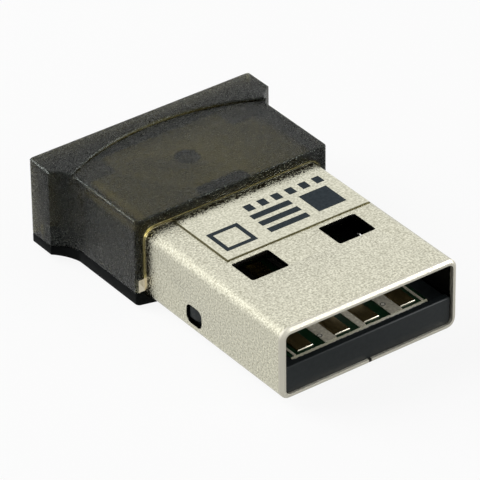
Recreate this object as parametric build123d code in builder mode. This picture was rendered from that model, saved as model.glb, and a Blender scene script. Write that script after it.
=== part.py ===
import os
from build123d import *

os.makedirs("parts", exist_ok=True)

# All sizes are millimetres. The plug points along -Y, the cap lies at +Y and Z is up.
# The origin lies under the middle of the adapter, on the plane of the cap's underside.
# Heights named *_h are measured from the plug's middle plane.

# Metal plug shell
plug_width = 12.0
plug_height = 4.5
plug_corner = 0.64
plug_length = 12.49
sheet = 0.30
lead_in = 0.15
seam_gap = 0.12
window_width = 2.5
window_length = 2.0
window_corner = 0.15
window_spacing = 5.94
window_front = 4.95
side_window_length = 1.42
side_window_height = 1.18
side_window_front = 7.27
side_window_top_h = -0.40
side_window_round = 0.40
flare = 0.06
flare_run = 0.38
flare_margin = 0.04

# Stretch of the shell that lies hidden in the cap
tail_back_wall = 1.75
tail_step = 1.7
tongue_width = 8.0
locating_hole = 1.5
locating_hole_back = 4.3
key_slot_width = 3.4
key_slot_length = 1.3
key_slot_round = 0.45
key_slot_back = 0.15
ear_width = 0.40
ear_height = 0.82
ear_top_h = -0.88
ear_recess = 0.05

# Board and its contacts
board_thickness = 0.80
board_top_h = -0.42
board_back_wall = 0.94
board_bevel = 0.30
shoulder_length = 3.9
shoulder_setback = 1.26
contact_width = 1.05
contact_length = 8.3
contact_thickness = 0.10
contact_setback = 0.21
contact_edge = 0.04
inner_contact_pitch = 2.0
outer_contact_pitch = 2.5
track_thickness = 0.05
track_gap = 0.02
track_width_1 = 0.76
track_width_2 = 0.42
track_width_3 = 0.78
edge_track_width = 0.14
edge_track_gap = 0.265
track_setback = 0.02
track_length = 8.4

# Plastic holder under the board
holder_front = 0.15
holder_lip = 0.43
lip_rise = 0.15
lip_gap = 0.08
holder_side_gap = 0.10
rail_width = 0.90
holder_corner = 0.38
holder_edge = 0.06
board_slack = 0.05
latch_slack = 0.14
latch_height = 0.7
window_relief = 0.4

# Cap
cap_length = 8.85
body_width = 13.22
body_top_h = 3.04
cap_bottom_h = -2.72
flange_reach = 1.05
flange_rise = 0.16
flange_depth = 1.94
hollow_run = 1.32
hollow_bow = 0.17
hollow_blend = 1.0
crest_back = 1.19
crest_lead = 0.38
crest_spread = 0.11
parting_h = -1.76
parting_groove = 0.06
side_bevel_width = 1.3
side_bevel_height = 0.24
edge_round = 0.12
flange_edge = 0.08
corner_round = 0.22
fit_gap = 0.02
roof_pin_gap = 0.10
key_gap = 0.08
weld_pin = 0.8
weld_pin_height = 0.9
weld_pin_gap = 0.03
weld_pin_inset = 0.9
tail_room_height = 1.0
tail_room_gap = 0.12

# Label
label_thickness = 0.06
label_left = -4.2
label_right = 5.62
label_front = 7.26

# Small parts on the board: length, width and height of each package
chip_size = (4.0, 4.0, 0.85)
crystal_size = (2.5, 2.0, 0.75)
memory_size = (3.0, 2.0, 0.75)
regulator_size = (1.6, 2.9, 1.1)
filter_size = (2.0, 1.25, 0.9)
led_size = (1.6, 0.8, 0.6)
passive_size = (1.0, 0.5, 0.35)
package_edge = 0.08
lid_step = 0.2
lens_inset = 0.3
terminal_share = 0.25
terminal_lip = 0.02
antenna_track = 0.22
antenna_pitch = 0.55
antenna_lines = 7
antenna_reach = 1.5
antenna_inset = 0.24
solder_leg = 0.40
solder_length = 2.6

# Where the small parts lie: across from the middle, and forward from the board's back edge
chip_shift = -0.4
part_gap = 0.1
crystal_inset = 0.5
regulator_inset = 0.5
board_margin = 0.15
memory_forward = 0.65
data_pitch = 1.0
bypass_pitch = 1.5

# Places worked out from the sizes above
flange_width = body_width + 2 * flange_reach
track_widths = (track_width_1, track_width_2, track_width_3)
axis_z = -cap_bottom_h
front_y = -(plug_length + cap_length) / 2
mouth_y = front_y + plug_length
back_y = mouth_y + cap_length
tail_y = back_y - tail_back_wall
step_y = tail_y - tail_step
flare_end_y = mouth_y - flare_margin
flare_start_y = flare_end_y - flare_run
collar_width = plug_width + 2 * flare
collar_height = plug_height + 2 * flare
board_top = axis_z + board_top_h
board_bottom = board_top - board_thickness
board_front_y = front_y + holder_front + holder_lip + lip_gap
board_back_y = back_y - board_back_wall
shoulder_y = mouth_y + shoulder_setback
parting_z = axis_z + parting_h
body_top = axis_z + body_top_h
flange_top = body_top + flange_rise
flange_front_y = back_y - flange_depth
hollow_y = flange_front_y - hollow_run
crest_middle_y = back_y - crest_back
crest_end_x = body_width / 2 + crest_spread
crest_rise = crest_middle_y - hollow_y - crest_lead
crest_radius = (crest_end_x**2 + crest_rise**2) / (2 * crest_rise)
pocket_end_y = tail_y + fit_gap
inner_floor = axis_z - plug_height / 2 + sheet
inner_width = plug_width - 2 * sheet
holder_width = inner_width - 2 * holder_side_gap
shoulder_width = holder_width
board_width = holder_width - 2 * (rail_width + board_slack)
tail_room_y = board_back_y + tail_room_gap
tail_room_width = board_width + 2 * tail_room_gap
holder_end_y = shoulder_y + shoulder_length
rail_end_y = shoulder_y - board_slack
mouth_bevel = label_thickness + fit_gap

# The back row's front edge, the radio chip's edges, and the places of its neighbours
row_front = memory_forward + memory_size[1]
chip_rear = row_front + part_gap
chip_front = chip_rear + chip_size[1]
chip_left = chip_shift - chip_size[0] / 2
chip_right = chip_shift + chip_size[0] / 2
crystal_front = chip_front - crystal_inset
crystal_rear = crystal_front - crystal_size[1]
regulator_front = chip_front - regulator_inset
chip_place = (chip_shift, chip_rear + chip_size[1] / 2)
crystal_place = (chip_right + part_gap + crystal_size[0] / 2, crystal_front - crystal_size[1] / 2)
filter_place = (chip_right + part_gap + filter_size[0] / 2, crystal_rear - part_gap - filter_size[1] / 2)
regulator_place = (chip_left - part_gap - regulator_size[0] / 2, regulator_front - regulator_size[1] / 2)
memory_place = (-board_width / 2 + board_margin + memory_size[0] / 2, row_front - memory_size[1] / 2)
led_place = (memory_place[0] + memory_size[0] / 2 + part_gap + led_size[0] / 2, row_front - led_size[1] / 2)
led_resistor_place = (
    led_place[0] + led_size[0] / 2 + part_gap + passive_size[0] / 2,
    row_front - passive_size[1] / 2,
)
data_row = chip_front + part_gap + passive_size[0] / 2
data_resistor_places = ((-data_pitch / 2, data_row), (data_pitch / 2, data_row))
bypass_shift = data_pitch / 2 + bypass_pitch
capacitor_places = (
    (-bypass_shift, data_row),
    (bypass_shift, data_row),
    (crystal_place[0], crystal_front + part_gap + passive_size[1] / 2),
    (regulator_place[0], regulator_front + part_gap + passive_size[1] / 2),
    (
        filter_place[0] + filter_size[0] / 2 + part_gap + passive_size[1] / 2,
        crystal_rear - part_gap - passive_size[0] / 2,
    ),
)
capacitors_along_x = (False, False, True, True, False)


def across(y):
    """Plane across the plug at y, seen from the front, centred on the plug's axis."""
    return Plane(origin=(0, y, axis_z), x_dir=(1, 0, 0), z_dir=(0, -1, 0))


def plug_outline(grow, y):
    """Rounded outline of the plug at y, grown outward by grow from the shell's outer face."""
    with BuildSketch(across(y)) as outline:
        RectangleRounded(plug_width + 2 * grow, plug_height + 2 * grow, plug_corner + grow)
    return outline.sketch


def plug_prism(grow, start_y, end_y, mode=Mode.ADD):
    """Straight stretch of the plug's outline between two places."""
    extrude(plug_outline(grow, start_y), amount=start_y - end_y, mode=mode)


def flared_prism(grow, start_y, end_y, mode=Mode.ADD):
    """The plug's outline from start_y, widened over the flare and then straight to end_y."""
    plug_prism(grow, start_y, flare_start_y, mode)
    narrow = plug_outline(grow, flare_start_y)
    wide = plug_outline(grow + flare, flare_end_y)
    loft([narrow.face(), wide.face()], mode=mode)
    if end_y > flare_end_y:
        plug_prism(grow + flare, flare_end_y, end_y, mode)


def bevel_mouth():
    """Cut a small bevel round the pocket's mouth, which clears the label's raised end."""
    wide = plug_outline(flare + fit_gap + mouth_bevel, mouth_y)
    narrow = plug_outline(flare + fit_gap, mouth_y + mouth_bevel)
    loft([wide.face(), narrow.face()], mode=Mode.SUBTRACT)


def save(part, name):
    """Label a finished piece and write its file."""
    part.label = name
    export_step(part, f"parts/{name}.step")


# Plug shell: one folded sheet with a butt seam below and a flared, hidden tail
with BuildPart() as usb_shell:
    flared_prism(0, front_y, tail_y)
    chamfer(usb_shell.faces().sort_by(Axis.Y)[0].edges(), lead_in)
    flared_prism(-sheet, front_y, tail_y, Mode.SUBTRACT)
    # Two windows above and two below, for the springs of the socket
    window_y = front_y + window_front + window_length / 2
    with BuildSketch(Plane.XY.offset(axis_z)):
        with Locations((-window_spacing / 2, window_y), (window_spacing / 2, window_y)):
            RectangleRounded(window_width, window_length, window_corner)
    extrude(amount=plug_height, both=True, mode=Mode.SUBTRACT)
    # Arched latch window in each side wall
    side_window_y = front_y + side_window_front + side_window_length / 2
    side_window_z = axis_z + side_window_top_h - side_window_height / 2
    with BuildSketch(Plane.YZ):
        with Locations((side_window_y, side_window_z)):
            side_window = Rectangle(side_window_length, side_window_height)
        fillet(side_window.vertices().group_by(Axis.Z)[-1], side_window_round)
    extrude(amount=plug_width, both=True, mode=Mode.SUBTRACT)
    # Hidden tail: tongues above and below, a locating hole and a slot for the cap's key
    for side in (-1, 1):
        with BuildSketch(Plane.XY.offset(axis_z)):
            with Locations((side * (tongue_width / 2 + plug_width / 2), tail_y)):
                Rectangle(plug_width, 2 * tail_step)
        extrude(amount=plug_height, both=True, mode=Mode.SUBTRACT)
    key_slot_y = mouth_y + key_slot_back + key_slot_length / 2
    locating_y = mouth_y + locating_hole_back
    with BuildSketch(Plane.XY.offset(axis_z)):
        with Locations((0, locating_y)):
            Circle(locating_hole / 2)
        with Locations((0, key_slot_y)):
            RectangleRounded(key_slot_width, key_slot_length, key_slot_round)
    extrude(amount=plug_height, mode=Mode.SUBTRACT)
    # Ears cut from the side walls and bent out, which the cap holds
    ear_z = axis_z + ear_top_h - ear_height / 2
    ear_y = mouth_y + ear_recess
    for side in (-1, 1):
        with BuildSketch(across(ear_y + sheet)):
            with Locations((side * collar_width / 2, ear_z - axis_z)):
                Rectangle(2 * sheet, ear_height)
        extrude(amount=-ear_width, mode=Mode.SUBTRACT)
        with BuildSketch(across(ear_y)):
            with Locations((side * (collar_width / 2 + (ear_width - sheet) / 2), ear_z - axis_z)):
                Rectangle(ear_width + sheet, ear_height)
        extrude(amount=-sheet)
    # Butt seam along the middle of the underside
    with BuildSketch(Plane.XY.offset(axis_z)):
        with Locations((0, (front_y + tail_y) / 2)):
            Rectangle(seam_gap, tail_y - front_y)
    extrude(amount=-plug_height, mode=Mode.SUBTRACT)
save(usb_shell.part, "usb_shell")

# Board holder: a moulded tray with a front lip, side rails and latches for the shell
with BuildPart() as board_holder:
    holder_start_y = front_y + holder_front
    holder_height = board_top - inner_floor
    rail_length = rail_end_y - holder_start_y
    floor_length = holder_end_y - holder_start_y
    with BuildSketch(Plane.XY.offset(inner_floor)):
        with Locations((0, holder_start_y + rail_length / 2)):
            Rectangle(holder_width, rail_length)
    extrude(amount=holder_height)
    with BuildSketch(Plane.XY.offset(inner_floor)):
        with Locations((0, holder_start_y + floor_length / 2)):
            Rectangle(holder_width, floor_length)
    extrude(amount=board_bottom - inner_floor)
    with BuildSketch(Plane.XY.offset(inner_floor)):
        with Locations((0, holder_start_y + holder_lip / 2)):
            Rectangle(holder_width, holder_lip)
    extrude(amount=holder_height + lip_rise)
    fillet(board_holder.edges().filter_by(Axis.Y).group_by(Axis.Z)[0], holder_corner)
    chamfer(board_holder.faces().sort_by(Axis.Y)[0].edges().group_by(Axis.Z)[-1], holder_edge)
    # Bed for the board, open at the back
    bed_start_y = holder_start_y + holder_lip
    with BuildSketch(Plane.XY.offset(board_bottom)):
        with Locations((0, (bed_start_y + holder_end_y) / 2)):
            Rectangle(board_width + 2 * board_slack, holder_end_y - bed_start_y)
    extrude(amount=2 * board_thickness, mode=Mode.SUBTRACT)
    # Latches that spring into the side windows, sloped at the front
    latch_length = side_window_length - 2 * latch_slack
    latch_z = side_window_z
    latch_reach = holder_side_gap + sheet / 2
    for side in (-1, 1):
        with BuildSketch(Plane.XY.offset(latch_z - latch_height / 2)):
            with BuildLine():
                Polyline(
                    (side * holder_width / 2, side_window_y - latch_length / 2),
                    (side * (holder_width / 2 + latch_reach), side_window_y),
                    (side * (holder_width / 2 + latch_reach), side_window_y + latch_length / 2),
                    (side * holder_width / 2, side_window_y + latch_length / 2),
                    close=True,
                )
            make_face()
        extrude(amount=latch_height)
    # Hollows behind the lower windows, where the springs of the socket dip in
    with BuildSketch(Plane.XY.offset(inner_floor)):
        with Locations((-window_spacing / 2, window_y), (window_spacing / 2, window_y)):
            RectangleRounded(window_width, window_length, window_corner)
    extrude(amount=window_relief, mode=Mode.SUBTRACT)
save(board_holder.part, "board_holder")

# Circuit board: bevelled front edge, and shoulders behind the holder's rails
with BuildPart() as circuit_board:
    board_length = board_back_y - board_front_y
    with BuildSketch(Plane.XY.offset(board_bottom)):
        with Locations((0, board_front_y + board_length / 2)):
            Rectangle(board_width, board_length)
        with Locations((0, shoulder_y + shoulder_length / 2)):
            shoulders = Rectangle(shoulder_width, shoulder_length)
        fillet(shoulders.vertices(), corner_round)
    extrude(amount=board_thickness)
    front_edge = circuit_board.faces().sort_by(Axis.Y)[0].edges().group_by(Axis.Z)[-1]
    chamfer(front_edge, board_bevel)
save(circuit_board.part, "circuit_board")


def board_plate(x, start_y, width, length, thickness):
    """Flat plate on the board's top, centred at x, from start_y backwards."""
    with BuildSketch(Plane.XY.offset(board_top)) as plan:
        with Locations((x, start_y + length / 2)):
            Rectangle(width, length)
    extrude(plan.sketch, amount=thickness)


# Four gold contacts with rounded-off top edges
contact_middle = inner_contact_pitch / 2
contact_outer = contact_middle + outer_contact_pitch
contact_places = (-contact_outer, -contact_middle, contact_middle, contact_outer)
bevel_end_y = board_front_y + board_bevel
for number, contact_x in enumerate(contact_places, start=1):
    with BuildPart() as contact:
        contact_start = bevel_end_y + contact_setback
        board_plate(contact_x, contact_start, contact_width, contact_length, contact_thickness)
        chamfer(contact.faces().sort_by(Axis.Z)[-1].edges(), contact_edge)
    save(contact.part, f"contact_{number}")

# Tinned tracks: one beside each of the last three contacts, and one along each board edge
track_start = bevel_end_y + track_setback
for number, (contact_x, track_width) in enumerate(zip(contact_places[1:], track_widths), start=1):
    with BuildPart() as track:
        track_x = contact_x - contact_width / 2 - track_gap - track_width / 2
        board_plate(track_x, track_start, track_width, track_length, track_thickness)
    save(track.part, f"tinned_track_{number}")

contact_end_x = contact_outer + contact_width / 2
edge_track_x = contact_end_x + edge_track_gap + edge_track_width / 2
for side, side_name in ((-1, "left"), (1, "right")):
    with BuildPart() as edge_track:
        track_x = side * edge_track_x
        board_plate(track_x, track_start, edge_track_width, track_length, track_thickness)
    save(edge_track.part, f"edge_track_{side_name}")


def cap_plan(z):
    """Plan of the cap at height z: a hollow out to the flange on each side, and a square back."""
    half_body = body_width / 2
    half_flange = flange_width / 2
    with BuildSketch(Plane.XY.offset(z)) as plan:
        with BuildLine():
            Polyline(
                (-half_body, hollow_y),
                (-half_body, mouth_y),
                (half_body, mouth_y),
                (half_body, hollow_y),
            )
            SagittaArc((half_body, hollow_y), (half_flange, flange_front_y), hollow_bow)
            Polyline(
                (half_flange, flange_front_y),
                (half_flange, back_y),
                (-half_flange, back_y),
                (-half_flange, flange_front_y),
            )
            SagittaArc((-half_body, hollow_y), (-half_flange, flange_front_y), -hollow_bow)
        make_face()
        kinks = [point for point in plan.vertices() if abs(point.Y - hollow_y) < fit_gap]
        fillet(kinks, hollow_blend)
    return plan.sketch


def cut_ear_slots():
    """Cut a slot round each ear, open at the front and down to the parting or below the ear."""
    slot_top = ear_top_h + fit_gap
    slot_bottom = min(parting_h, ear_top_h - ear_height - fit_gap)
    slot_width = sheet + ear_width + fit_gap
    slot_x = collar_width / 2 - sheet + slot_width / 2
    with BuildSketch(across(mouth_y)) as slots:
        with Locations(
            (-slot_x, (slot_top + slot_bottom) / 2),
            (slot_x, (slot_top + slot_bottom) / 2),
        ):
            Rectangle(slot_width, slot_top - slot_bottom)
    extrude(slots.sketch, amount=-(ear_recess + sheet + fit_gap), mode=Mode.SUBTRACT)


def round_cap_corners(part):
    """Round the upright corners at the mouth and at both ends of the flange."""
    uprights = part.edges().filter_by(Axis.Z)
    front_corners = uprights.group_by(Axis.Y)[0]
    back_corners = uprights.group_by(Axis.Y)[-1]
    fillet(front_corners + back_corners, corner_round)


# Upper housing: smoky moulded sleeve over the shell's tail, with a raised flange behind
with BuildPart() as upper_housing:
    extrude(cap_plan(parting_z), amount=flange_top - parting_z)
    round_cap_corners(upper_housing)
    chamfer(upper_housing.faces().sort_by(Axis.Z)[0].edges(), parting_groove)
    # The top in front of the curved crest lies lower than the flange
    with BuildSketch(Plane.XY.offset(body_top)):
        with Locations((0, crest_middle_y - crest_radius)):
            Circle(crest_radius)
    extrude(amount=2 * flange_rise, mode=Mode.SUBTRACT)
    body_face = upper_housing.faces().filter_by(Axis.Z).group_by(Axis.Z)[-2].sort_by(SortBy.AREA)[-1]
    fillet(body_face.edges().sort_by(Axis.Y)[:-1], edge_round)
    chamfer(upper_housing.faces().sort_by(Axis.Z)[-1].edges(), flange_edge)
    # Pocket for the shell's tail
    plug_prism(flare + fit_gap, mouth_y, pocket_end_y, Mode.SUBTRACT)
    bevel_mouth()
    # Room for the end of the board, open below
    with BuildSketch(Plane.XY.offset(parting_z)):
        with Locations((0, (tail_y + tail_room_y) / 2)):
            Rectangle(tail_room_width, tail_room_y - tail_y)
    extrude(amount=board_top + tail_room_height - parting_z, mode=Mode.SUBTRACT)
    # Pin and key that reach down into the shell's hole and slot
    with BuildSketch(Plane.XY.offset(axis_z + collar_height / 2 - sheet)):
        with Locations((0, locating_y)):
            Circle(locating_hole / 2 - roof_pin_gap)
        with Locations((0, key_slot_y)):
            RectangleRounded(
                key_slot_width - 2 * key_gap, key_slot_length - 2 * key_gap, key_slot_round - key_gap
            )
    extrude(amount=sheet + 2 * fit_gap)
    cut_ear_slots()
    # Holes for the weld pins
    weld_x = flange_width / 2 - weld_pin_inset
    weld_y = back_y - weld_pin_inset
    with BuildSketch(Plane.XY.offset(parting_z)):
        with Locations((-weld_x, weld_y), (weld_x, weld_y)):
            Circle(weld_pin / 2 + weld_pin_gap)
    extrude(amount=weld_pin_height + weld_pin_gap, mode=Mode.SUBTRACT)
save(upper_housing.part, "upper_housing")

# Bottom cover: black moulded floor with weld pins and a rest for the board's end
with BuildPart() as bottom_cover:
    extrude(cap_plan(0), amount=parting_z)
    round_cap_corners(bottom_cover)
    chamfer(bottom_cover.faces().sort_by(Axis.Z)[-1].edges(), parting_groove)
    # Long shallow bevel along each side of the underside, which runs on under the flange
    bevel_reach = side_bevel_width + flange_width - body_width / 2
    bevel_height = bevel_reach * side_bevel_height / side_bevel_width
    for side in (-1, 1):
        with BuildSketch(across(mouth_y)):
            with BuildLine():
                Polyline(
                    (side * (body_width / 2 - side_bevel_width), cap_bottom_h),
                    (side * flange_width, cap_bottom_h + bevel_height),
                    (side * flange_width, cap_bottom_h),
                    close=True,
                )
            make_face()
        extrude(amount=-cap_length, mode=Mode.SUBTRACT)
    plug_prism(flare + fit_gap, mouth_y, pocket_end_y, Mode.SUBTRACT)
    bevel_mouth()
    cut_ear_slots()
    with BuildSketch(Plane.XY.offset(parting_z)):
        with Locations((-weld_x, weld_y), (weld_x, weld_y)):
            Circle(weld_pin / 2)
    extrude(amount=weld_pin_height)
    rest_length = board_back_y - pocket_end_y
    with BuildSketch(Plane.XY.offset(parting_z)):
        with Locations((0, pocket_end_y + rest_length / 2)):
            Rectangle(board_width / 2, rest_length)
    extrude(amount=board_bottom - parting_z)
save(bottom_cover.part, "bottom_cover")

# Label: thin film on the shell's top, bent up over the flare and round the right corner
with BuildPart() as label:
    flared_prism(label_thickness, front_y + label_front, flare_end_y)
    flared_prism(0, front_y + label_front, flare_end_y, Mode.SUBTRACT)
    label_length = plug_length - label_front
    with BuildSketch(Plane.XY.offset(axis_z + plug_height / 2 - plug_corner)):
        with Locations(((label_left + label_right) / 2, front_y + label_front + label_length / 2)):
            Rectangle(label_right - label_left, label_length)
    extrude(amount=2 * plug_corner, mode=Mode.INTERSECT)
save(label.part, "label")


def seat(place):
    """Board position of a small part's place."""
    return place[0], board_back_y - place[1]


def package(place, size):
    """Block of a package, centred at its place on the board."""
    x, y = seat(place)
    board_plate(x, y - size[1] / 2, *size)


def terminal_part(place, size, along_x):
    """Small ceramic part with a raised metal cap at each end."""
    length, width, height = size
    x, y = seat(place)
    end_length = terminal_share * length
    plan = (length, width) if along_x else (width, length)
    end_plan = (end_length, width) if along_x else (width, end_length)
    board_plate(x, y - plan[1] / 2, *plan, height)
    for end in (-1, 1):
        shift = end * (length - end_length) / 2
        end_x, end_y = (x + shift, y) if along_x else (x, y + shift)
        board_plate(end_x, end_y - end_plan[1] / 2, *end_plan, height + terminal_lip)


# Radio chip, with a moulded body
with BuildPart() as radio_chip:
    package(chip_place, chip_size)
    chamfer(radio_chip.faces().sort_by(Axis.Z)[-1].edges(), package_edge)
save(radio_chip.part, "radio_chip")

# Crystal: ceramic base under a smaller metal lid with rounded corners
with BuildPart() as crystal:
    package(crystal_place, (crystal_size[0], crystal_size[1], crystal_size[2] / 2))
    with BuildSketch(Plane.XY.offset(board_top + crystal_size[2] / 2)):
        with Locations(seat(crystal_place)):
            RectangleRounded(crystal_size[0] - lid_step, crystal_size[1] - lid_step, lid_step)
    extrude(amount=crystal_size[2] / 2)
save(crystal.part, "crystal")

# Memory chip
with BuildPart() as memory_chip:
    package(memory_place, memory_size)
    chamfer(memory_chip.faces().sort_by(Axis.Z)[-1].edges(), package_edge)
save(memory_chip.part, "memory_chip")

# Voltage regulator
with BuildPart() as voltage_regulator:
    package(regulator_place, regulator_size)
    chamfer(voltage_regulator.faces().sort_by(Axis.Z)[-1].edges(), package_edge)
save(voltage_regulator.part, "voltage_regulator")

# Filter in front of the antenna
with BuildPart() as radio_filter:
    terminal_part(filter_place, filter_size, True)
save(radio_filter.part, "radio_filter")

# Status lamp: terminals and base below, a narrower clear lens above
with BuildPart() as status_led:
    terminal_part(led_place, (led_size[0], led_size[1], led_size[2] / 2), True)
    with BuildSketch(Plane.XY.offset(board_top)):
        with Locations(seat(led_place)):
            Rectangle(led_size[0] - 2 * lens_inset, led_size[1])
    extrude(amount=led_size[2])
    fillet(status_led.faces().sort_by(Axis.Z)[-1].edges(), package_edge)
save(status_led.part, "status_led")

# Resistors for the lamp and the two data lines
with BuildPart() as led_resistor:
    terminal_part(led_resistor_place, passive_size, True)
save(led_resistor.part, "led_resistor")

for number, place in enumerate(data_resistor_places, start=1):
    with BuildPart() as data_resistor:
        terminal_part(place, passive_size, False)
    save(data_resistor.part, f"data_resistor_{number}")

# Capacitors round the chips
for number, (place, along_x) in enumerate(zip(capacitor_places, capacitors_along_x), start=1):
    with BuildPart() as capacitor:
        terminal_part(place, passive_size, along_x)
    save(capacitor.part, f"capacitor_{number}")

# Antenna: one winding track at the end of the board, clear of the shell
with BuildPart() as antenna:
    antenna_y = board_back_y - antenna_inset - antenna_reach / 2
    last_line_x = board_width / 2 - antenna_inset - antenna_track / 2
    with BuildSketch(Plane.XY.offset(board_top)):
        for line in range(antenna_lines):
            line_x = last_line_x - (antenna_lines - 1 - line) * antenna_pitch
            with Locations((line_x, antenna_y)):
                Rectangle(antenna_track, antenna_reach)
            bend_y = antenna_y + (-1) ** line * (antenna_reach - antenna_track) / 2
            if line < antenna_lines - 1:
                with Locations((line_x + antenna_pitch / 2, bend_y)):
                    Rectangle(antenna_pitch + antenna_track, antenna_track)
    extrude(amount=track_thickness)
save(antenna.part, "antenna")

# Solder fillets that join the board's shoulders to the shell's side walls
for side, side_name in ((-1, "left"), (1, "right")):
    with BuildPart() as solder:
        wall_x = collar_width / 2 - sheet
        solder_start = shoulder_y + (shoulder_length - solder_length) / 2
        with BuildSketch(across(solder_start)):
            with BuildLine():
                foot = (side * (wall_x - solder_leg), board_top_h)
                corner = (side * wall_x, board_top_h)
                head = (side * wall_x, board_top_h + solder_leg)
                Polyline(foot, corner, head)
                RadiusArc(head, foot, side * solder_leg * 1.3)
            make_face()
        extrude(amount=-solder_length)
    save(solder.part, f"solder_{side_name}")
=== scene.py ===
import math

import bpy
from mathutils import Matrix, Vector


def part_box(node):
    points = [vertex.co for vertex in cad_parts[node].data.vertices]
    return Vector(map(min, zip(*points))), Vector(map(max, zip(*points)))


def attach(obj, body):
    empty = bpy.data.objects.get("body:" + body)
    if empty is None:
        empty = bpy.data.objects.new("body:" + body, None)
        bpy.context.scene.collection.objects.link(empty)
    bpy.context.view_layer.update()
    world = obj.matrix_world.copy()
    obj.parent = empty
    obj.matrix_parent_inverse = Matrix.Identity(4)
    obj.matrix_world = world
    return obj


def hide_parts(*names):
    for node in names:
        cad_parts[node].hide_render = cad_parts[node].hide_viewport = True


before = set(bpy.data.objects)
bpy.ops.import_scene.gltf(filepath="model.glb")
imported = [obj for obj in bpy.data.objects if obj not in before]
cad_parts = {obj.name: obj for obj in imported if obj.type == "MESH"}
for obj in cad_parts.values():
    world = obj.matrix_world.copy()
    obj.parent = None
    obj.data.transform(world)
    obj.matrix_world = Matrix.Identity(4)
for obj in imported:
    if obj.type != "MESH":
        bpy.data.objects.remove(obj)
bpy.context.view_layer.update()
bpy.ops.object.select_all(action="DESELECT")


# Plug shell: one strip of nickel-plated steel, folded to a box with its butt seam below.
# The plating is satin with a fine grain and dull at the mouth's rim. Towards the cap it carries
# painted dark specks for the cap's shade and reflection, and just before the cap a painted
# highlight on the flare.
# Inside, at the windows' edges and on the hidden sides under the cap, the steel is painted dark as
# shade.
def new_material(name):
    """A new material, its node tree and its surface."""
    material = bpy.data.materials.new(name)
    material.use_nodes = True
    return material, material.node_tree, material.node_tree.nodes["Principled BSDF"]


def grain(tree, scale, detail=3.0, stretch=(1, 1, 1)):
    """Even noise, fixed to the piece."""
    place = tree.nodes.new("ShaderNodeTexCoord")
    mapping = tree.nodes.new("ShaderNodeMapping")
    mapping.inputs["Scale"].default_value = stretch
    noise = tree.nodes.new("ShaderNodeTexNoise")
    noise.inputs["Scale"].default_value = scale
    noise.inputs["Detail"].default_value = detail
    tree.links.new(place.outputs["Object"], mapping.inputs["Vector"])
    tree.links.new(mapping.outputs["Vector"], noise.inputs["Vector"])
    return noise.outputs["Fac"]


def two_tone(tree, factor, first, last, start=0.3, end=0.7):
    """First colour where the factor is at start or under it, and last colour at end and over it."""
    blend = tree.nodes.new("ShaderNodeValToRGB")
    for element, position, colour in zip(blend.color_ramp.elements, (start, end), (first, last)):
        element.position = position
        element.color = (*colour, 1)
    tree.links.new(factor, blend.inputs["Fac"])
    return blend.outputs["Color"]


def grey(level):
    """The same level in red, green and blue."""
    return (level, level, level)


def relief(tree, height, surface, strength, depth):
    """Roughen a surface by the height of a grain."""
    bump = tree.nodes.new("ShaderNodeBump")
    bump.inputs["Strength"].default_value = strength
    bump.inputs["Distance"].default_value = depth
    tree.links.new(height, bump.inputs["Height"])
    tree.links.new(bump.outputs["Normal"], surface.inputs["Normal"])


def place_on_piece(tree):
    """The X, Y and Z of a point of the piece, each as an output."""
    place = tree.nodes.new("ShaderNodeTexCoord")
    parts = tree.nodes.new("ShaderNodeSeparateXYZ")
    tree.links.new(place.outputs["Object"], parts.inputs["Vector"])
    return parts.outputs["X"], parts.outputs["Y"], parts.outputs["Z"]


def combine(tree, operation, first, second=None):
    """One step of arithmetic on outputs or numbers."""
    step = tree.nodes.new("ShaderNodeMath")
    step.operation = operation
    for value, socket in zip((first, second), step.inputs):
        if isinstance(value, (int, float)):
            socket.default_value = value
        elif value is not None:
            tree.links.new(value, socket)
    return step.outputs[0]


def beyond(tree, value, limit, soft=0.00001):
    """0 under the limit and 1 over it, with a step that is soft to either side."""
    step = tree.nodes.new("ShaderNodeMapRange")
    step.inputs["From Min"].default_value = limit - soft
    step.inputs["From Max"].default_value = limit + soft
    tree.links.new(value, step.inputs["Value"])
    return step.outputs["Result"]


def within(tree, value, limit, soft=0.00001):
    """1 under the limit and 0 over it, with a step that is soft to either side."""
    return beyond(tree, value, limit, -soft)


def past_wall(tree, value, centre, straight):
    """How far a value lies past the straight run of a wall, on either side of the centre."""
    offset = combine(tree, "ABSOLUTE", combine(tree, "SUBTRACT", value, centre))
    return combine(tree, "MAXIMUM", combine(tree, "SUBTRACT", offset, straight), 0.0)


def distance(tree, across, along):
    """Length of the slope of two offsets that are square to each other."""
    squares = [combine(tree, "POWER", offset, 2.0) for offset in (across, along)]
    return combine(tree, "SQRT", combine(tree, "ADD", *squares))


def paint_over(tree, mask, under, over):
    """Under where the mask is 0 and over where it is 1; each is a colour or an output."""
    blend = tree.nodes.new("ShaderNodeMix")
    blend.data_type = "RGBA"
    tree.links.new(mask, blend.inputs["Factor"])
    for value, name in ((under, "A"), (over, "B")):
        socket = next(entry for entry in blend.inputs
                      if entry.name == name and entry.type == "RGBA")
        if isinstance(value, tuple):
            socket.default_value = (*value, 1)
        else:
            tree.links.new(value, socket)
    return next(entry for entry in blend.outputs if entry.type == "RGBA")


def cap_shade_specks(tree, y, speckle):
    """1 in the painted dark specks of the cap's shade and reflection, which crowd together towards
    the cap; 0 on clean metal and at the cap.
    """
    jitter = combine(tree, "MULTIPLY", combine(tree, "SUBTRACT", speckle, 0.5), cap_shade_spread)
    specks = beyond(tree, combine(tree, "ADD", y, jitter), mouth_y - cap_shade_length, cap_shade_soft)
    return combine(tree, "MULTIPLY", specks, within(tree, y, mouth_y - flare_highlight_length))


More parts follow.
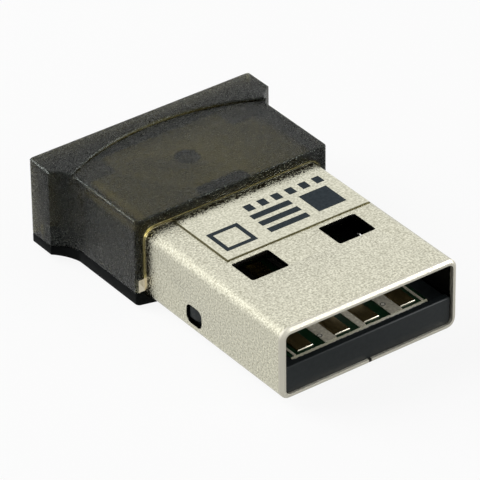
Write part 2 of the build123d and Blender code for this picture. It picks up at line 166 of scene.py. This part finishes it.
def redraw(node, name, material, edge):
    """A copy of a solid: facets merged, sharp edges rounded by edge in mm, and faces smooth."""
    piece = bpy.data.objects.new(name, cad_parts[node].data.copy())
    bpy.context.collection.objects.link(piece)
    bpy.ops.object.select_all(action="DESELECT")
    piece.select_set(True)
    bpy.context.view_layer.objects.active = piece
    piece.scale = (mm_in_metre,) * 3
    bpy.ops.object.transform_apply(location=False, rotation=False, scale=True)
    bpy.ops.object.mode_set(mode="EDIT")
    bpy.ops.mesh.select_all(action="SELECT")
    bpy.ops.mesh.remove_doubles(threshold=merge_distance)
    bpy.ops.mesh.dissolve_limited(angle_limit=flat_angle)
    bpy.ops.object.mode_set(mode="OBJECT")
    rounding = piece.modifiers.new("rounding", "BEVEL")
    rounding.width = edge
    rounding.segments = 3
    rounding.limit_method = "ANGLE"
    rounding.angle_limit = sharp_angle
    rounding.miter_outer = "MITER_ARC"
    bpy.ops.object.modifier_apply(modifier="rounding")
    bpy.ops.object.shade_smooth_by_angle(angle=sharp_angle)
    piece.scale = (1 / mm_in_metre,) * 3
    bpy.ops.object.transform_apply(location=False, rotation=False, scale=True)
    piece.data.materials.clear()
    piece.data.materials.append(material)
    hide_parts(node)
    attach(piece, "root")


mm_in_metre = 1000
merge_distance = 0.0005
flat_angle = math.radians(0.5)
sharp_angle = math.radians(35)
front_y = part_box("usb_shell")[0].y
mouth_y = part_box("upper_housing")[0].y
plug_half_width = 0.006
plug_half_height = 0.00225
plug_round = 0.00064
plug_axis_z = 0.00272
shade_depth = 0.00004
fold_soft = 0.00002
rim_length = 0.00028
seam_reach = 0.00010
seam_top = 0.00095
seam_soft = 0.00005
hidden_soft = 0.0001
# Painted shade and reflection of the dark cap, as dark specks on the shell and on the label:
cap_shade_length = 0.00038
cap_shade_soft = 0.00006
cap_shade_spread = 0.0034
flare_highlight_length = 0.00015
rim_colour = (0.56, 0.54, 0.46)
seam_shadow_colour = (0.05, 0.05, 0.04)
cap_shade_colour = (0.045, 0.036, 0.02)
flare_highlight_colour = (0.93, 0.84, 0.63)
hidden_colour = (0.95, 0.93, 0.80)
inside_shade_colour = (0.03, 0.03, 0.03)

nickel, tree, metal = new_material("nickel")
metal.inputs["Metallic"].default_value = 1.0
fine = grain(tree, 9000, detail=4)
x, y, z = place_on_piece(tree)
side = past_wall(tree, x, 0.0, plug_half_width - plug_round)
height = past_wall(tree, z, plug_axis_z, plug_half_height - plug_round)
outside = beyond(tree, distance(tree, side, height), plug_round - shade_depth, fold_soft)
at_rim = within(tree, y, front_y + rim_length, fold_soft)
# Painted shadow: the butt seam's sides are dark as the shade in its gap.
in_seam_shadow = combine(tree, "MULTIPLY", within(tree, z, seam_top, seam_soft),
                  within(tree, combine(tree, "ABSOLUTE", x), seam_reach, fold_soft))
# Painted highlight on the shell's flare, in the last stretch before the cap.
flare_highlight = beyond(tree, y, mouth_y - flare_highlight_length)
hidden = beyond(tree, y, mouth_y + hidden_soft, hidden_soft)
hidden_side_shade = combine(tree, "MULTIPLY", hidden,
                      beyond(tree, side, plug_round - hidden_soft, hidden_soft))
bright = combine(tree, "MULTIPLY", combine(tree, "MAXIMUM", outside, at_rim),
                 combine(tree, "SUBTRACT", 1.0, hidden_side_shade))
plate = two_tone(tree, fine, (0.40, 0.385, 0.295), (0.88, 0.86, 0.70))
for mask, colour in ((at_rim, rim_colour), (in_seam_shadow, seam_shadow_colour),
                     (cap_shade_specks(tree, y, fine), cap_shade_colour), (flare_highlight, flare_highlight_colour),
                     (hidden, hidden_colour)):
    plate = paint_over(tree, mask, plate, colour)
# Where the mask is 0 (inside the shell, at the windows' edges and on the hidden sides) the colour
# is painted shade.
tree.links.new(paint_over(tree, bright, inside_shade_colour, plate), metal.inputs["Base Color"])
satin = two_tone(tree, fine, grey(0.26), grey(0.16))
satin = paint_over(tree, at_rim, satin, grey(0.45))
satin = paint_over(tree, hidden, satin, grey(0.6))
tree.links.new(satin, metal.inputs["Roughness"])
relief(tree, fine, metal, strength=0.8, depth=0.00004)
redraw("usb_shell", "shell", nickel, edge=0.03)


# Board holder: black-blue moulded tray that carries the board inside the plug.
# Its front lip stands a little above the board and hides the board's cut edge.
def plain(name, scale, first, last, roughness=0.5, gloss=0.5, metallic=0.0):
    """A material of one even finish, whose colour shifts a little with a grain of that scale."""
    material, tree, surface = new_material(name)
    tree.links.new(two_tone(tree, grain(tree, scale), first, last), surface.inputs["Base Color"])
    surface.inputs["Roughness"].default_value = roughness
    surface.inputs["Specular IOR Level"].default_value = gloss
    surface.inputs["Metallic"].default_value = metallic
    return material


slate = plain("slate_plastic", 4000, (0.008, 0.011, 0.012), (0.0125, 0.016, 0.017),
              roughness=0.45, gloss=0.22)
redraw("board_holder", "holder", slate, edge=0.03)

# Circuit board: glass-fibre board under dark green solder mask.
# Its front edge is ground to a bevel, with a ragged pale line where the mask ends; below that line
# the bevel is painted near black as shade.
board_bevel = 0.0003
mask_setback = 0.00002
pale_line = 0.00009
ragged_depth = 0.00012
bevel_shade_colour = (0.006, 0.007, 0.006)
pale_colour = (0.62, 0.60, 0.44)

green, tree, body = new_material("green_board")
bevel_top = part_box("circuit_board")[0].y + board_bevel
mask = two_tone(tree, grain(tree, 3000), (0.004, 0.020, 0.007), (0.008, 0.036, 0.014))
x, y, z = place_on_piece(tree)
ragged = combine(tree, "MULTIPLY", combine(tree, "SUBTRACT", grain(tree, 6000), 0.5), ragged_depth)
along = combine(tree, "ADD", y, ragged)
# Painted shade: below the pale line the bevel is near black.
front = paint_over(tree, beyond(tree, along, bevel_top - pale_line), bevel_shade_colour, pale_colour)
masked = beyond(tree, along, bevel_top + mask_setback)
tree.links.new(paint_over(tree, masked, front, mask), body.inputs["Base Color"])
body.inputs["Roughness"].default_value = 0.35
body.inputs["Specular IOR Level"].default_value = 0.25
redraw("circuit_board", "board", green, edge=0.02)


# Contacts and antenna: gold plate over nickel on the board's copper.
# The plate is rubbed along the plug, and its front ends catch the light.
def dress(node, material):
    """Give a node's own mesh a material."""
    node_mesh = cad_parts[node].data
    node_mesh.materials.clear()
    node_mesh.materials.append(material)


tip_length = 0.00005
tip_colour = (0.78, 0.74, 0.60)

gold, tree, metal = new_material("gold")
metal.inputs["Metallic"].default_value = 0.7
x, y, z = place_on_piece(tree)
rub = grain(tree, 5000, detail=4, stretch=(1, 0.15, 1))
plating = two_tone(tree, rub, (0.12, 0.09, 0.035), (0.24, 0.18, 0.075))
tip = within(tree, y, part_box("contact_1")[0].y + tip_length)
tree.links.new(paint_over(tree, tip, plating, tip_colour), metal.inputs["Base Color"])
metal.inputs["Roughness"].default_value = 0.25
for number in range(1, 5):
    redraw(f"contact_{number}", f"pad_{number}", gold, edge=0.02)
dress("antenna", gold)

# Tracks and solder: dull tin, laid on beside the contacts, with a painted glint on each plated hole
# and a dark ring of painted shade round it.
# Deeper in the plug the tin is painted dark as shade.
ring_radius = 0.00016
glint_radius = 0.00011
hole_places = ((0.00237, -0.00870), (-0.00220, -0.00901))
tin_shade_y = -0.0072
tin_shade_soft = 0.0004
ring_shade_colour = (0.10, 0.09, 0.06)
hole_glint_colour = (1.0, 0.96, 0.84)
tin_shade_colour = (0.05, 0.048, 0.04)

tin, tree, metal = new_material("tin")
metal.inputs["Metallic"].default_value = 0.3
solder = two_tone(tree, grain(tree, 6000), (0.66, 0.61, 0.47), (1.0, 0.95, 0.79))
x, y, z = place_on_piece(tree)
# Painted glint on each plated hole, with a dark ring of painted shade round it.
for hole_x, hole_y in hole_places:
    away = distance(tree, combine(tree, "SUBTRACT", x, hole_x),
                    combine(tree, "SUBTRACT", y, hole_y))
    solder = paint_over(tree, within(tree, away, ring_radius), solder, ring_shade_colour)
    solder = paint_over(tree, within(tree, away, glint_radius), solder, hole_glint_colour)
# Painted shade: the tin darkens beyond this depth into the plug.
tin_shade = beyond(tree, y, tin_shade_y, tin_shade_soft)
tree.links.new(paint_over(tree, tin_shade, solder, tin_shade_colour), metal.inputs["Base Color"])
metal.inputs["Roughness"].default_value = 0.45
for node in ("tinned_track_1", "tinned_track_2", "tinned_track_3", "edge_track_left",
             "edge_track_right", "solder_left", "solder_right"):
    dress(node, tin)

# Small parts on the board: black moulded chips, ceramic parts, a crystal in its can and a lamp.
# They are soldered in the cap's hidden half and show only where the shell is open.
chip = plain("chip_black", 6000, grey(0.012), grey(0.03), roughness=0.6)
for node in ("radio_chip", "memory_chip", "voltage_regulator"):
    dress(node, chip)
ceramic = plain("ceramic", 6000, (0.25, 0.18, 0.12), (0.36, 0.27, 0.19))
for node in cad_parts:
    if "resistor" in node or "capacitor" in node or node == "radio_filter":
        dress(node, ceramic)
dress("crystal", plain("crystal_can", 5000, grey(0.55), grey(0.7), roughness=0.35, metallic=1.0))
dress("status_led", plain("lamp_lens", 3000, (0.7, 0.7, 0.6), (0.85, 0.85, 0.78)))

# Bottom cover: opaque black floor of the cap, moulded, with a satin face.
# It is welded to the upper housing along the parting.
black = plain("black_plastic", 3000, (0.002, 0.0025, 0.0025), (0.005, 0.006, 0.006),
              roughness=0.4, gloss=0.03)
redraw("bottom_cover", "cover", black, edge=0.03)

# Upper housing: smoky moulded plastic, which lets the shell's tail shine through.
# The brown cast and the darkness of thick walls come from the depth of plastic that light crosses.
smoky, tree, body = new_material("smoky_plastic")
frost = grain(tree, 11000, detail=5)
tint = two_tone(tree, frost, (0.84, 0.84, 0.66), (1.0, 1.0, 0.84))
polish = two_tone(tree, frost, grey(0.30), grey(0.10))
clearness = two_tone(tree, frost, grey(1.0), grey(0.82), start=0.61, end=0.72)
tree.links.new(tint, body.inputs["Base Color"])
tree.links.new(polish, body.inputs["Roughness"])
tree.links.new(clearness, body.inputs["Transmission Weight"])
body.inputs["Specular Tint"].default_value = (0.90, 1.0, 0.92, 1)
body.inputs["IOR"].default_value = 1.3
relief(tree, frost, body, strength=0.8, depth=0.000043)
smoke = tree.nodes.new("ShaderNodeVolumeAbsorption")
smoke.inputs["Color"].default_value = (0.53, 0.50, 0.30, 1)
smoke.inputs["Density"].default_value = 3600
tree.links.new(smoke.outputs["Volume"], tree.nodes["Material Output"].inputs["Volume"])
redraw("upper_housing", "housing", smoky, edge=0.06)

# Label: satin silver film on the shell's top, bent up at the cap.
# Its cut edges at the left and the front are a thin dark line.
cut_line = 0.00007
cut_colour = (0.11, 0.10, 0.05)

film, tree, body = new_material("label_film")
body.inputs["Metallic"].default_value = 1.0
fine = grain(tree, 8000, detail=4)
silver = two_tone(tree, fine, (0.47, 0.46, 0.36), (0.85, 0.83, 0.68))
x, y, z = place_on_piece(tree)
# Painted dark specks of the cap's shade and reflection, as on the shell.
silver = paint_over(tree, cap_shade_specks(tree, y, fine), silver, cap_shade_colour)
label_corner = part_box("label")[0]
off_line = combine(tree, "MINIMUM", beyond(tree, x, label_corner.x + cut_line),
                   beyond(tree, y, label_corner.y + cut_line))
tree.links.new(paint_over(tree, off_line, cut_colour, silver), body.inputs["Base Color"])
tree.links.new(two_tone(tree, fine, grey(0.28), grey(0.18)), body.inputs["Roughness"])
relief(tree, fine, body, strength=0.4, depth=0.00003)
redraw("label", "label_film", film, edge=0.01)

# Print on the label: plain dark ink in generic fields and bars, a hair above the film.
# It stands where the real label is printed and says nothing.
ink_thickness = 0.000012
film_thickness = 0.00006
film_top = plug_axis_z + plug_half_height + film_thickness
dash_width, dash_length, dash_pitch, dash_count = 0.00052, 0.00062, 0.00095, 6
dash_start_x, dash_y = -0.00010, 0.00015
bar_x, bar_width, bar_length = 0.00075, 0.0027, 0.00046
bar_rows = (-0.00235, -0.00155, -0.00075)
block_x, block_y, block_size = 0.0037, -0.00155, 0.0019
field_x, field_y, field_width, field_length = -0.0026, -0.00165, 0.0021, 0.0020
field_line = 0.00028
ink = plain("dark_ink", 5000, (0.010, 0.016, 0.020), (0.022, 0.030, 0.036),
            roughness=0.6, gloss=0.1)


def bar(x, y, width, length):
    """Flat rectangle of ink on the film, centred at x and y."""
    bpy.ops.mesh.primitive_cube_add(size=1, location=(x, y, film_top))
    strip = bpy.context.object
    strip.scale = (width, length, ink_thickness)
    bpy.ops.object.transform_apply(location=True, rotation=False, scale=True)
    return strip


strips = [bar(dash_start_x + step * dash_pitch, dash_y, dash_width, dash_length)
          for step in range(dash_count)]
strips += [bar(bar_x, row, bar_width, bar_length) for row in bar_rows]
strips.append(bar(block_x, block_y, block_size, block_size))
bpy.ops.mesh.primitive_plane_add(size=1, location=(field_x, field_y, film_top))
field = bpy.context.object
field.scale = (field_width, field_length, 1)
bpy.ops.object.transform_apply(location=True, rotation=False, scale=True)
bpy.ops.object.mode_set(mode="EDIT")
bpy.ops.mesh.select_all(action="SELECT")
bpy.ops.mesh.inset(thickness=field_line)
bpy.ops.mesh.delete(type="FACE")
bpy.ops.object.mode_set(mode="OBJECT")
layer = field.modifiers.new("layer", "SOLIDIFY")
layer.thickness = ink_thickness
layer.offset = 0
bpy.ops.object.modifier_apply(modifier="layer")
strips.append(field)
bpy.ops.object.select_all(action="DESELECT")
for strip in strips:
    strip.data.materials.append(ink)
    strip.select_set(True)
bpy.context.view_layer.objects.active = strips[0]
bpy.ops.object.join()
label_print = bpy.context.object
label_print.name = "label_print"
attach(label_print, "root")

# Floor and light: pale paper in a white room, with one soft lamp behind the part and one before.
# To the camera, to gloss and through plastic the paper glows, and so stays white round its shadow.
# Each side has a gleam that only gloss sees, for the bright lines along edges and the cap's crest.
floor_gap = 0.00001
glow_share = 0.9
glow_in_gloss = 0.55
room_light = 0.35
rear_place = (-0.28, 0.34, 0.30)


def seen_directly(tree, in_gloss=1.0):
    """1 for a camera ray, in_gloss for a glossy or transmission ray, 0 for one that lights."""
    rays = tree.nodes.new("ShaderNodeLightPath")
    glossy, through = rays.outputs["Is Glossy Ray"], rays.outputs["Is Transmission Ray"]
    either = combine(tree, "MAXIMUM", glossy, through)
    either = combine(tree, "MULTIPLY", either, in_gloss)
    return combine(tree, "MAXIMUM", rays.outputs["Is Camera Ray"], either)


bpy.ops.mesh.primitive_plane_add(size=2.0, location=(0, 0, -floor_gap))
floor = bpy.context.object
floor.name = "floor"
paper, tree, body = new_material("pale_paper")
body.inputs["Base Color"].default_value = (0.65, 0.65, 0.65, 1)
body.inputs["Roughness"].default_value = 0.9
body.inputs["Specular IOR Level"].default_value = 0.0
glow = tree.nodes.new("ShaderNodeEmission")
share = tree.nodes.new("ShaderNodeMixShader")
amount = combine(tree, "MULTIPLY", seen_directly(tree, glow_in_gloss), glow_share)
tree.links.new(amount, share.inputs["Fac"])
tree.links.new(body.outputs["BSDF"], share.inputs[1])
tree.links.new(glow.outputs["Emission"], share.inputs[2])
tree.links.new(share.outputs[0], tree.nodes["Material Output"].inputs["Surface"])
floor.data.materials.append(paper)

world = bpy.data.worlds.new("studio")
bpy.context.scene.world = world
world.use_nodes = True
tree = world.node_tree
tree.nodes.clear()
seen = tree.nodes.new("ShaderNodeBackground")
seen.inputs["Color"].default_value = (1, 1, 1, 1)
light = tree.nodes.new("ShaderNodeBackground")
light.inputs["Color"].default_value = (1, 1, 1, 1)
light.inputs["Strength"].default_value = room_light
pick = tree.nodes.new("ShaderNodeMixShader")
out = tree.nodes.new("ShaderNodeOutputWorld")
tree.links.new(seen_directly(tree), pick.inputs["Fac"])
tree.links.new(light.outputs[0], pick.inputs[1])
tree.links.new(seen.outputs[0], pick.inputs[2])
tree.links.new(pick.outputs[0], out.inputs["Surface"])


def softbox(name, position, size, power):
    """Square lamp that faces the part."""
    bpy.ops.object.light_add(type="AREA", location=position)
    lamp = bpy.context.object
    lamp.name = name
    lamp.data.size = size
    lamp.data.energy = power
    lamp.rotation_euler = (-Vector(position)).to_track_quat("-Z", "Y").to_euler()
    return lamp


for lamp in (softbox("rear_light", rear_place, size=0.40, power=3.4),
             softbox("front_light", (0.20, -0.30, 0.18), size=0.30, power=0.5)):
    lamp.visible_glossy = False
for gleam in (softbox("rear_gleam", rear_place, size=0.40, power=3.2),
              softbox("front_gleam", (0.32, -0.16, 0.22), size=0.20, power=1.0)):
    gleam.visible_diffuse = False
    gleam.visible_transmission = False

# Camera: the photograph's place, about 250 mm away on a long lens.
# Its tilt and small roll are the photograph's own.
bpy.ops.object.camera_add(location=(-0.1240813, -0.169054, 0.1407978))
camera = bpy.context.object
camera.rotation_euler = (math.radians(56.67796), math.radians(0.59991), math.radians(-36.48188))
camera.data.lens = 339.085
camera.data.sensor_width = 36
camera.data.clip_start = 0.01
bpy.context.scene.camera = camera

bpy.context.scene.view_settings.view_transform = "Standard"
